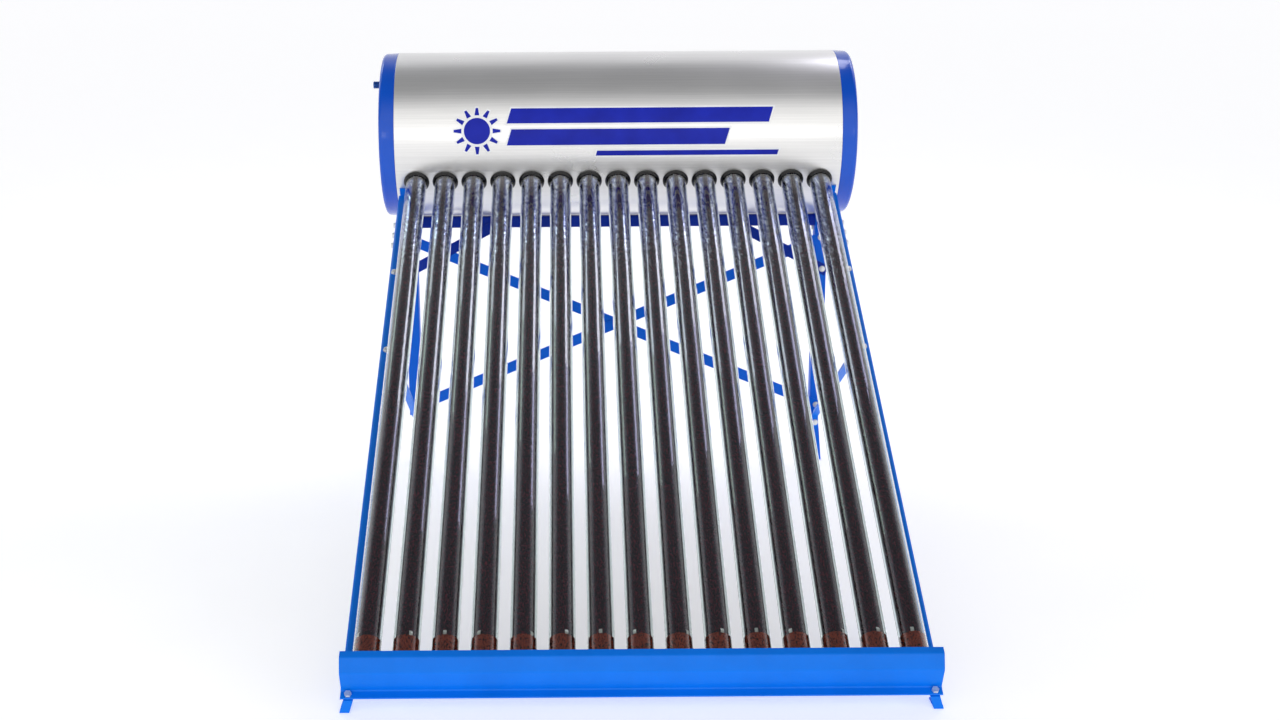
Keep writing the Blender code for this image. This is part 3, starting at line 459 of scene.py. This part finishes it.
# the painted reflection lies on the tube's flanks, left and right as seen from the front, and a strip about
# 12 mm wide along its middle stays dark
across = add(tree, "ShaderNodeSeparateXYZ", {"Vector": place}).outputs["X"]
first_x = tank_centre.x + tube_offsets[0]
half_pitch = (tube_offsets[1] - tube_offsets[0]) / 2
from_first = add(tree, "ShaderNodeMath", {0: across, 1: first_x}, operation="SUBTRACT")
from_middle = add(tree, "ShaderNodeMath", {0: from_first.outputs[0], 1: half_pitch}, operation="PINGPONG")
side_reflection_mask = add(
    tree, "ShaderNodeMapRange",
    {"Value": from_middle.outputs[0], "From Min": 0.004, "From Max": 0.009, "To Min": 0.05, "To Max": 1.0},
)
painted_reflection_mask = add(tree, "ShaderNodeMath", {0: reflection_share.outputs[0], 1: side_reflection_mask.outputs[0]}, operation="MULTIPLY")
# the painted reflection's colours, from blue-grey through lavender to near white
painted_reflection = add(
    tree, "ShaderNodeValToRGB", {"Fac": reflection_streaks.outputs["Fac"]},
    stops=[(0.36, "#3C4C94"), (0.50, "#98A2D4"), (0.62, "#F0F2FC")],
)
# this kind of mix takes its two colours in inputs 6 and 7, and gives the result in output 2
film = add(
    tree, "ShaderNodeMix",
    {"Factor": painted_reflection_mask.outputs[0], 6: dark_film.outputs[0], 7: painted_reflection.outputs[0]}, data_type="RGBA",
)
gloss = add(
    tree, "ShaderNodeMapRange",
    {"Value": streak.outputs["Fac"], "From Min": 0.3, "From Max": 0.7, "To Min": 0.08, "To Max": 0.18},
)
bump = add(tree, "ShaderNodeBump", {"Height": ripple.outputs["Fac"], "Strength": 0.4, "Distance": 0.0012})
# the same mask makes the painted reflection metallic, so that it also mirrors what is round it
wire(
    tree, shader, Base_Color=film.outputs[2], Metallic=painted_reflection_mask.outputs[0],
    Roughness=gloss.outputs[0], Normal=bump.outputs[0],
)
# the film mirrors a little more than glass, and its thickness gives what it mirrors a lavender cast
shader.inputs["IOR"].default_value = 1.58
shader.inputs["Specular Tint"].default_value = colour("#CFC6F2")

getter, tree, shader, place = material("getter_mirror")
film_place = add(
    tree, "ShaderNodeMapping", {"Vector": place, "Rotation": (-slope, 0, 0), "Scale": (300.0, 14.0, 300.0)},
)
# the mirror flash carries a painted reflection of red-brown ground, in streaks about 3 mm wide of copper and
# near black
film = add(tree, "ShaderNodeTexNoise", {"Vector": film_place.outputs[0], "Scale": 1.0, "Detail": 3.0})
tint = add(
    tree, "ShaderNodeValToRGB", {"Fac": film.outputs["Fac"]},
    stops=[(0.32, "#200603"), (0.44, "#7A2816"), (0.56, "#B8492C"), (0.70, "#3C0F08")],
)
wire(tree, shader, Base_Color=tint.outputs[0])
shader.inputs["Metallic"].default_value = 0.4
shader.inputs["Roughness"].default_value = 0.24

spring_steel, tree, shader, place = material("bright_spring_steel")
temper = add(tree, "ShaderNodeTexNoise", {"Vector": place, "Scale": 220.0, "Detail": 3.0})
tint = add(
    tree, "ShaderNodeValToRGB", {"Fac": temper.outputs["Fac"]},
    stops=[(0.3, "#DAD8D3"), (0.7, "#F5F4F0")],
)
wire(tree, shader, Base_Color=tint.outputs[0])
shader.inputs["Metallic"].default_value = 0.5
shader.inputs["Roughness"].default_value = 0.3

# the foot of every tube, down the slope from the tank's axis; heights below are up the tube from there
tube_foot = 1.923
tube_length = 1.8
dome = 0.006 + tube_radius
wall = 0.0016
inner = tube_radius - wall
core = 0.0235
core_inside = core - wall
core_dome = dome + 0.018
core_top = tube_length - 0.0045
rim_round = 0.003
film_outside = inner - 0.0002
film_inside = inner - 0.0005
mirror_top = 0.080
# the drawn tip, the domed foot, the fused rim and the way back down inside
glass_outline = [(0, 0), (0.0020, 0.0003), (0.0032, 0.0016), (0.0036, 0.0036), (0.0050, 0.0058)]
glass_outline += arc((0, dome), tube_radius, -78, 0, 14)
glass_outline += [(tube_radius, 0.4), (tube_radius, 1.0), (tube_radius, tube_length - rim_round)]
glass_outline += arc((tube_radius - rim_round, tube_length - rim_round), rim_round, 15, 90, 4)
glass_outline += [(core, tube_length), (core, tube_length - 0.004), (inner, tube_length - 0.006)]
glass_outline += [(inner, 1.0), (inner, 0.4)]
glass_outline += arc((0, dome), inner, 0, -90, 14)
core_outline = arc((0, core_dome), core, -90, 0, 12)
core_outline += [(core, 0.6), (core, core_top), (core_inside, core_top), (core_inside, 0.6)]
core_outline += arc((0, core_dome), core_inside, 0, -90, 12)
film_outline = arc((0, dome), film_outside, -84, 0, 12) + [(film_outside, mirror_top)]
film_outline += [(film_inside, mirror_top)] + arc((0, dome), film_inside, 0, -84, 12)
# the clip's two tabs are sprung against the glass above the flash, 7 mm wide, and bow out to it
tab_length = 0.013
tab_angle = 0.26
tab_bow = 0.0020
tab_middle = mirror_top + 0.006
for i, x in enumerate(tube_offsets):
    number = f"{i + 1:02}"
    body = f"tube_{number}_body"
    foot = collector @ Matrix.Translation((x, -tube_foot, 0)) @ along_slope
    stands_for = [f"tube_{number}"]
    piece(f"glass_tube_{number}", turned(glass_outline, 64), foot, glass, body, stands_for)
    piece(f"absorber_{number}", turned(core_outline, 64), foot, absorber, body)
    piece(f"getter_film_{number}", turned(film_outline, 48, loop=True), foot, getter, body)
    # each clip lies turned as it was dropped in, somewhere in the front quarter of its tube
    clip = bmesh.new()
    clip_turn = math.radians(-90 + (i * 67) % 90 - 45)
    for about in (clip_turn, clip_turn + math.pi * 0.8):
        tab = bmesh.ops.create_grid(clip, x_segments=6, y_segments=4, size=0.5)["verts"]
        for v in tab:
            angle = about + v.co.x * tab_angle
            reach = core + 0.0012 + tab_bow * (1 - 4 * v.co.y ** 2)
            height = tab_middle + v.co.y * tab_length
            v.co = Vector((reach * math.cos(angle), reach * math.sin(angle), height))
    bmesh.ops.recalc_face_normals(clip, faces=clip.faces)
    bmesh.ops.solidify(clip, geom=clip.faces, thickness=0.0005)
    bmesh.ops.recalc_face_normals(clip, faces=clip.faces)
    piece(f"getter_clip_{number}", clip, foot, spring_steel, body)

# ---- Dust rings: black rubber grommets ----
# A moulded EPDM ring closes each hole in the shell. Its flange lies against the sheet, a fold of rubber
# hugs the tube, and the moulding leaves a slightly waxy sheen with dust in the folds.
rubber, tree, shader, place = material("moulded_epdm_rubber")
bloom = add(tree, "ShaderNodeTexNoise", {"Vector": place, "Scale": 120.0, "Detail": 5.0, "Roughness": 0.65})
tint = add(
    tree, "ShaderNodeValToRGB", {"Fac": bloom.outputs["Fac"]},
    stops=[(0.35, "#070707"), (0.72, "#1C1B1A")],
)
gloss = add(
    tree, "ShaderNodeMapRange",
    {"Value": bloom.outputs["Fac"], "From Min": 0.3, "From Max": 0.7, "To Min": 0.2, "To Max": 0.42},
)
bump = add(tree, "ShaderNodeBump", {"Height": bloom.outputs["Fac"], "Strength": 0.2, "Distance": 0.0006})
wire(tree, shader, Base_Color=tint.outputs[0], Roughness=gloss.outputs[0], Normal=bump.outputs[0])

# the tank's solid has 36 flat sides, and a ring lies against the middle of one of them
seat = tank_radius * math.cos(math.pi / 36)
bore = tube_radius + 0.0003
flange = tube_radius + 0.0064
# the sleeve in the hole, the flange on the sheet, and the fold that hugs the tube
ring_outline = [(bore, 0.003), (bore + 0.0012, 0.003), (bore + 0.0015, -0.0004), (flange - 0.001, -0.0006)]
ring_outline += arc((flange - 0.0012, -0.0019), 0.0012, 60, -70, 5)
ring_outline += [(flange - 0.0022, -0.0036), (flange - 0.0030, -0.0042), (flange - 0.0022, -0.0054)]
ring_outline += [(bore + 0.0022, -0.0088), (bore + 0.0010, -0.0097), (bore, -0.0094)]
for i, x in enumerate(tube_offsets):
    hole_place = collector @ Matrix.Translation((x, -seat, 0)) @ along_slope
    piece(
        f"rubber_ring_{i + 1:02}", turned(ring_outline, 64, loop=True), hole_place, rubber, "heater",
        [f"dust_ring_{i + 1:02}"],
    )

# ---- Trough cover: folded front of the trough ----
# One strip of coated sheet, folded three times on a press brake: a flange over the tubes' feet, a slope,
# an upright web and a lip that is bolted down. Each fold is rounded over 3.5 mm.
flange_rise = 0.036
lip_drop = -0.038
# each fold, down the slope from the tank's axis and off the tubes' plane
path = [(1.891, flange_rise), (1.907, flange_rise), (1.930, 0.012), (1.934, lip_drop), (1.952, lip_drop)]
trough = bmesh.new()
low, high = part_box("trough_cover")
half = (high.x - low.x) / 2
points = [trough.verts.new((-half, -s, n)) for s, n in path]
for pair in zip(points, points[1:]):
    trough.edges.new(pair)
bmesh.ops.bevel(
    trough, geom=points[1:-1], offset=0.0035, offset_type="OFFSET", segments=5, profile=0.5,
    affect="VERTICES", material=-1,
)
swept = bmesh.ops.extrude_edge_only(trough, edges=trough.edges)["geom"]
far_end = [v for v in swept if isinstance(v, bmesh.types.BMVert)]
bmesh.ops.translate(trough, verts=far_end, vec=(2 * half, 0, 0))
bmesh.ops.recalc_face_normals(trough, faces=trough.faces)
if sum(f.normal.z * f.calc_area() for f in trough.faces) < 0:
    bmesh.ops.reverse_faces(trough, faces=trough.faces)
bmesh.ops.solidify(trough, geom=trough.faces, thickness=0.002)
bmesh.ops.recalc_face_normals(trough, faces=trough.faces)
piece(
    "folded_trough_cover", trough, collector, blue_coat, "heater", ["trough_cover"], sharp=50,
)

# ---- Fixings: zinc-plated bolts ----
# M8 hexagon bolts hold the stand together, each through two or three thicknesses of sheet, with a pressed
# washer under its head and a nut behind. They are zinc plated, bright but slightly cloudy.
zinc, tree, shader, place = material("bright_zinc_plate")
spangle = add(tree, "ShaderNodeTexNoise", {"Vector": place, "Scale": 260.0, "Detail": 4.0})
tint = add(
    tree, "ShaderNodeValToRGB", {"Fac": spangle.outputs["Fac"]},
    stops=[(0.3, "#DADBDA"), (0.7, "#F2F2F0")],
)
gloss = add(
    tree, "ShaderNodeMapRange",
    {"Value": spangle.outputs["Fac"], "From Min": 0.3, "From Max": 0.7, "To Min": 0.4, "To Max": 0.6},
)
wire(tree, shader, Base_Color=tint.outputs[0], Roughness=gloss.outputs[0])
shader.inputs["Metallic"].default_value = 0.8
for side in ("left", "right"):
    nodes[f"{side}_lip_bolt"].data.materials[0] = zinc


hexagon = 0.0065 / math.cos(math.radians(30))
washer = 0.0088
shank = 0.0039


def bolt(name, under_head, axis, grip, tail=0.010):
    """A hexagon bolt with its washer under its head, and its nut a grip's length along the axis."""
    bm = bmesh.new()
    for low, high, outer in ((-0.0066, -0.0014, min), (grip + 0.0003, grip + 0.0064, max)):
        made = bmesh.ops.create_cone(
            bm, cap_ends=True, segments=6, radius1=hexagon, radius2=hexagon, depth=high - low,
            matrix=Matrix.Translation((0, 0, (low + high) / 2)),
        )["verts"]
        end = outer(v.co.z for v in made)
        rim_edges = [e for e in bm.edges if all(v in made and abs(v.co.z - end) < 1e-6 for v in e.verts)]
        bmesh.ops.bevel(
            bm, geom=rim_edges, offset=0.0009, offset_type="OFFSET", segments=2, profile=0.5,
            affect="EDGES", material=-1,
        )
    bmesh.ops.create_cone(
        bm, cap_ends=True, segments=24, radius1=washer, radius2=washer, depth=0.0012,
        matrix=Matrix.Translation((0, 0, -0.0008)),
    )
    bmesh.ops.create_cone(
        bm, cap_ends=True, segments=16, radius1=shank, radius2=shank - 0.0005, depth=grip + tail + 0.002,
        matrix=Matrix.Translation((0, 0, (grip + tail) / 2)),
    )
    bmesh.ops.recalc_face_normals(bm, faces=bm.faces)
    turn = Vector(axis).to_track_quat("Z", "Y").to_matrix().to_4x4()
    piece(name, bm, Matrix.Translation(under_head) @ turn, zinc, "heater", sharp=30)


def at(x, y, z):
    """A point on the stand, with x and y from the tank's middle and z from the ground."""
    return Vector((tank_centre.x + x, tank_centre.y + y, z))


def on_slope(x, s, n):
    """A point on the rails, with x and s from the tank's middle and n off the tubes' plane."""
    return collector @ Vector((x, -s, n))


leg_front = -0.020
strap_face = leg_front - 0.0028
leg_x = 0.598
rail_seat = -0.0424
backwards = Vector((0, 1, 0))
down = (collector.to_3x3() @ Vector((0, 0, -1))).normalized()
for side, label in ((-1, "left"), (1, "right")):
    bolt(f"{label}_brace_bolt_top", at(side * leg_x, strap_face, 0.680), backwards, 0.0056)
    bolt(f"{label}_brace_bolt_foot", at(side * leg_x, strap_face, 0.174), backwards, 0.0092)
    bolt(f"{label}_knee_bolt_leg", at(side * 0.6045, strap_face, 0.5866), backwards, 0.0056)
    bolt(f"{label}_knee_bolt_rail", at(side * 0.345, strap_face, 0.7243), backwards, 0.0056)
    bolt(f"{label}_strut_bolt_foot", at(side * leg_x, leg_front - 0.0002, 0.118), backwards, 0.0062)
    bolt(f"{label}_strut_bolt_rail", on_slope(side * 0.597, 0.888, rail_seat), down, 0.0058)
    bolt(f"{label}_rail_bolt", on_slope(side * 0.600, 0.579, rail_seat), down, 0.0030)
    for k, s in enumerate((0.352, 0.396, 0.441)):
        inwards = Vector((-side, 0, 0))
        bolt(f"{label}_saddle_bolt_{k + 1}", on_slope(side * 0.6135, s, -0.0600), inwards, 0.0062)
    for k, z in enumerate((0.706, 0.730)):
        bolt(f"{label}_leg_bolt_{k + 1}", at(side * 0.5800, 0.004, z), Vector((side, 0, 0)), 0.0060)
bolt("brace_crossing_bolt", at(0, leg_front - 0.0058, 0.427), backwards, 0.0060)

# ---- Sticker: a plain sun and stripes ----
# Cut vinyl, stuck to the shell's front: a white underlay first, then the royal-blue shapes on it, each
# with a white edge 4.5 mm wide. Vinyl is matt beside the sheet, and the sun fades it a little in patches.
vinyl, tree, shader, place = material("royal_blue_cut_vinyl")
fade = add(tree, "ShaderNodeTexNoise", {"Vector": place, "Scale": 14.0, "Detail": 3.0})
tint = add(
    tree, "ShaderNodeValToRGB", {"Fac": fade.outputs["Fac"]},
    stops=[(0.3, "#04189E"), (0.7, "#0A22B4")],
)
wire(tree, shader, Base_Color=tint.outputs[0])
shader.inputs["Roughness"].default_value = 0.5
shader.inputs["Specular IOR Level"].default_value = 0.25
underlay, tree, shader, place = material("white_vinyl_underlay")
fade = add(tree, "ShaderNodeTexNoise", {"Vector": place, "Scale": 14.0, "Detail": 3.0})
tint = add(
    tree, "ShaderNodeValToRGB", {"Fac": fade.outputs["Fac"]},
    stops=[(0.3, "#EDEFF2"), (0.7, "#FBFBFC")],
)
wire(tree, shader, Base_Color=tint.outputs[0])
shader.inputs["Roughness"].default_value = 0.35


def wrap(bm, rise, off):
    """Lays a flat mesh in the X-Z plane on the shell's front, rise up its curve, and off its surface."""
    radius = tank_radius + off
    for v in bm.verts:
        angle = (v.co.z + rise) / tank_radius
        v.co = Vector((v.co.x, -radius * math.cos(angle), radius * math.sin(angle)))


def stripe(bm, left, right, low, high):
    """A parallelogram with as many steps up its height as the curve needs."""
    made = bmesh.ops.create_grid(bm, x_segments=2, y_segments=8, size=0.5)["verts"]
    tall = high - low
    for v in made:
        leaning = 0.30 * v.co.y * tall
        v.co = Vector((left + (right - left) * (v.co.x + 0.5) + leaning, 0, low + tall * (v.co.y + 0.5)))


def sun(bm, centre, radius, ray_from, ray_to, ray_width, rays):
    """A disc with tapered rays round it."""
    disc = turned([(radius * k / 8, 0) for k in range(9)], 48)
    disc.transform(Matrix.Translation((centre, 0, 0)) @ Matrix.Rotation(math.radians(90), 4, "X"))
    mesh = bpy.data.meshes.new("disc")
    disc.to_mesh(mesh)
    disc.free()
    bm.from_mesh(mesh)
    bpy.data.meshes.remove(mesh)
    for k in range(rays):
        made = bmesh.ops.create_grid(bm, x_segments=1, y_segments=3, size=0.5)["verts"]
        turn = Matrix.Rotation(2 * math.pi * k / rays, 3, "Y")
        for v in made:
            width = ray_width * (0.75 - 0.5 * v.co.y)
            out = ray_from + (ray_to - ray_from) * (v.co.y + 0.5)
            v.co = turn @ Vector((v.co.x * width, 0, out)) + Vector((centre, 0, 0))


# each stripe's ends, and its lower and upper edges
stripes = ((-0.300, 0.420, 0.020, 0.062), (-0.300, 0.300, -0.040, 0.004), (-0.060, 0.440, -0.070, -0.056))
sun_x = -0.388
disc_radius = 0.036
ray_inner = 0.043
ray_outer = 0.064
ray_width = 0.013
sticker_rise = 0.034
for name, finish, grow, off in (
    ("sticker_underlay", underlay, 0.0045, 0.0002), ("sticker_face", vinyl, 0.0, 0.0004),
):
    bm = bmesh.new()
    for left, right, low, high in stripes:
        stripe(bm, left - grow, right + grow, low - grow, high + grow)
    sun(bm, sun_x, disc_radius + grow, ray_inner - grow, ray_outer + grow, ray_width + 2 * grow, 12)
    bmesh.ops.recalc_face_normals(bm, faces=bm.faces)
    wrap(bm, sticker_rise, off)
    for f in bm.faces:
        f.normal_update()
        if f.normal.y > 0:
            f.normal_flip()
    piece(name, bm, tank_place, finish, "heater")

# ---- Studio ----
# A pale floor that runs out of sight, a surround that is bright low down and grey overhead, two soft
# lights on each side of the tubes, laid along their slope, and a long low card in front of the tank.
floor_paint, tree, shader, place = material("pale_floor_paint")
mottle = add(tree, "ShaderNodeTexNoise", {"Vector": place, "Scale": 3.0, "Detail": 4.0})
tint = add(
    tree, "ShaderNodeValToRGB", {"Fac": mottle.outputs["Fac"]},
    stops=[(0.3, "#FAFAFB"), (0.7, "#FDFDFE")],
)
wire(tree, shader, Base_Color=tint.outputs[0])
shader.inputs["Roughness"].default_value = 0.85
# a little light of its own keeps the floor white out to its far edge
shader.inputs["Emission Color"].default_value = colour("#FFFFFF")
shader.inputs["Emission Strength"].default_value = 0.45
floor_mesh = bpy.data.meshes.new("floor")
bm = bmesh.new()
bmesh.ops.create_grid(bm, x_segments=1, y_segments=1, size=60)
bm.to_mesh(floor_mesh)
bm.free()
floor_mesh.materials.append(floor_paint)
floor = bpy.data.objects.new("floor", floor_mesh)
floor.location.z = -0.0005
bpy.context.scene.collection.objects.link(floor)

world = bpy.data.worlds.new("studio")
world.use_nodes = True
tree = world.node_tree
direction = add(tree, "ShaderNodeTexCoord").outputs["Generated"]
parts = add(tree, "ShaderNodeSeparateXYZ", {"Vector": direction}).outputs
forward = add(tree, "ShaderNodeMath", {0: parts["Y"], 1: -1.0}, operation="MULTIPLY")
# the angle up from the front and over to the back, as a share of half a turn
angle = add(tree, "ShaderNodeMath", {0: parts["Z"], 1: forward.outputs[0]}, operation="ARCTAN2")
share = add(tree, "ShaderNodeMath", {0: angle.outputs[0], 1: math.pi}, operation="DIVIDE")
surround = add(
    tree, "ShaderNodeValToRGB", {"Fac": share.outputs[0]},
    stops=[
        (0.0, "#FFFFFF"), (0.20, "#FFFFFF"), (0.32, "#96979A"), (0.37, "#6C6D70"), (0.50, "#66676A"),
        (0.61, "#747579"), (0.72, "#D8D8DC"), (1.0, "#F2F2F4"),
    ],
)
back = tree.nodes["Background"]
tree.links.new(surround.outputs[0], back.inputs["Color"])
back.inputs["Strength"].default_value = 1.15
bpy.context.scene.world = world


light_distance = 2.6


def soft_light(name, around, up, length, width, power, tint):
    """A rectangle parallel to the tubes, up their slope, and turned around it from straight above them."""
    data = bpy.data.lights.new(name, "AREA")
    data.shape = "RECTANGLE"
    data.size = width
    data.size_y = length
    data.energy = power
    data.color = colour(tint)[:3]
    light = bpy.data.objects.new(name, data)
    bpy.context.scene.collection.objects.link(light)
    aside = Matrix.Rotation(math.radians(around), 4, "Y")
    over = collector @ Matrix.Translation((0, up, 0))
    light.matrix_world = over @ aside @ Matrix.Translation((0, 0, light_distance))


soft_light("right_strip", 52, 2.95, 1.9, 1.1, 30, "#F1F0FF")
soft_light("right_strip_low", 54, 1.55, 0.9, 0.8, 6, "#DAD4FF")
soft_light("left_strip", -62, 2.95, 1.9, 1.0, 18, "#E6F3FF")
soft_light("left_strip_low", -66, 1.55, 0.9, 0.6, 2.6, "#C8F0DC")

card = bpy.data.lights.new("front_card", "AREA")
card.shape = "RECTANGLE"
card.size = 6.0
card.size_y = 0.7
card.energy = 26
card_holder = bpy.data.objects.new("front_card", card)
bpy.context.scene.collection.objects.link(card_holder)
card_centre = tank_centre + Vector((0, -5.6, 0.6))
card_holder.matrix_world = Matrix.Translation(card_centre) @ Matrix.Rotation(math.radians(84), 4, "X")

# the camera stands at eye height a little to the left, tipped down towards the middle of the tubes
camera = bpy.data.objects.new("camera", bpy.data.cameras.new("camera"))
bpy.context.scene.collection.objects.link(camera)
camera.data.lens = 46.41
camera.data.sensor_width = 36
camera.data.shift_x = 0.0581
camera.data.clip_end = 200
tilt = Matrix.Rotation(math.radians(76.03), 4, "X") @ Matrix.Rotation(math.radians(-0.41), 4, "Z")
camera.matrix_world = Matrix.Translation((tank_centre.x - 0.149, tank_centre.y - 4.78, 1.50)) @ tilt
bpy.context.scene.camera = camera
bpy.context.scene.view_settings.view_transform = "Standard"
